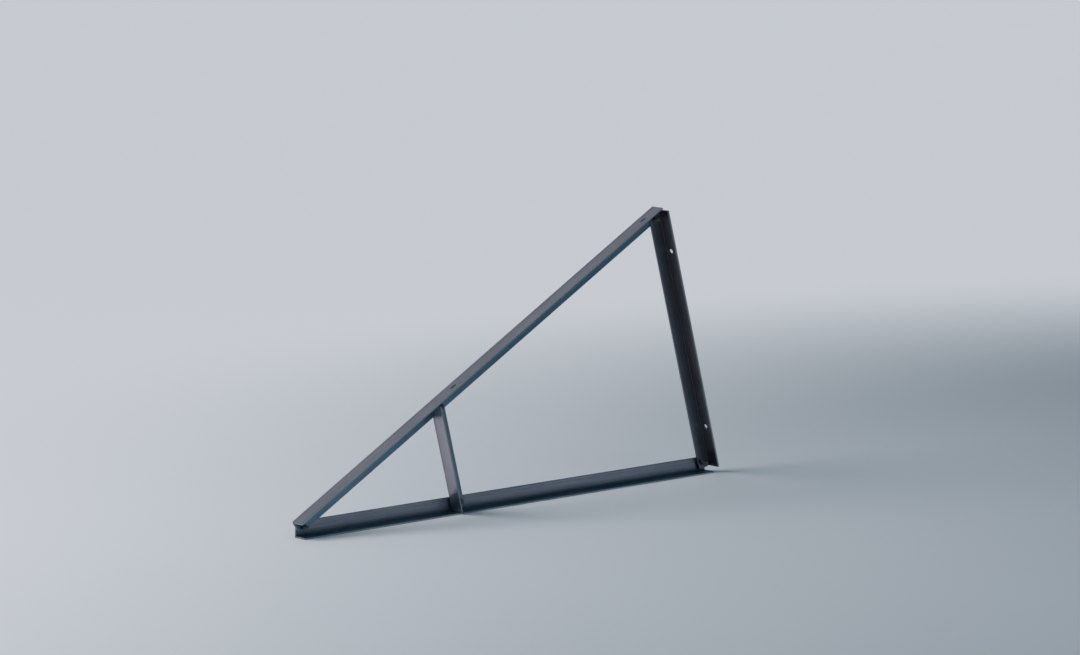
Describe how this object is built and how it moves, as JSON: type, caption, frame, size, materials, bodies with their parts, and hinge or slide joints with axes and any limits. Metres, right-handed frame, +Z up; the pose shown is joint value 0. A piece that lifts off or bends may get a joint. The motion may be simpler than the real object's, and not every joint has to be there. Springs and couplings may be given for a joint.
{
  "type": "solar ballast mount",
  "caption": "Bolted triangle of angle profile that stands on a flat roof, tilts a solar module along its top rail and is held down by ballast laid on its bottom rail",
  "frame": {"origin": "On the ground, under the centre of the overall bounding box.", "axes": "+X runs along the bottom rail from the toe, where the two rails meet, to the heel under the leg. +Z is up. +Y points to the back, where the bolt heads are; the flanges of the profiles stand out to -Y."},
  "size_m": [1.4042, 0.0534, 0.7316],
  "materials": {
    "angle": "smooth bare extrusion, dull grey with faint lengthwise streaks",
    "fastener": "bright zinc plating"
  },
  "bodies": {
    "root": {"bottom_rail": "angle", "inclined_rail": "angle", "rear_leg": "angle", "mid_brace": "angle", "toe_bolt": "fastener", "toe_washer": "fastener", "toe_nut": "fastener", "heel_bolt": "fastener", "heel_washer": "fastener", "heel_nut": "fastener", "heel_spacer": "fastener", "apex_bolt": "fastener", "apex_washer": "fastener", "apex_nut": "fastener", "brace_foot_bolt": "fastener", "brace_foot_washer": "fastener", "brace_foot_nut": "fastener", "brace_foot_spacer": "fastener", "brace_head_bolt": "fastener", "brace_head_washer": "fastener", "brace_head_nut": "fastener"}
  },
  "joints": []
}
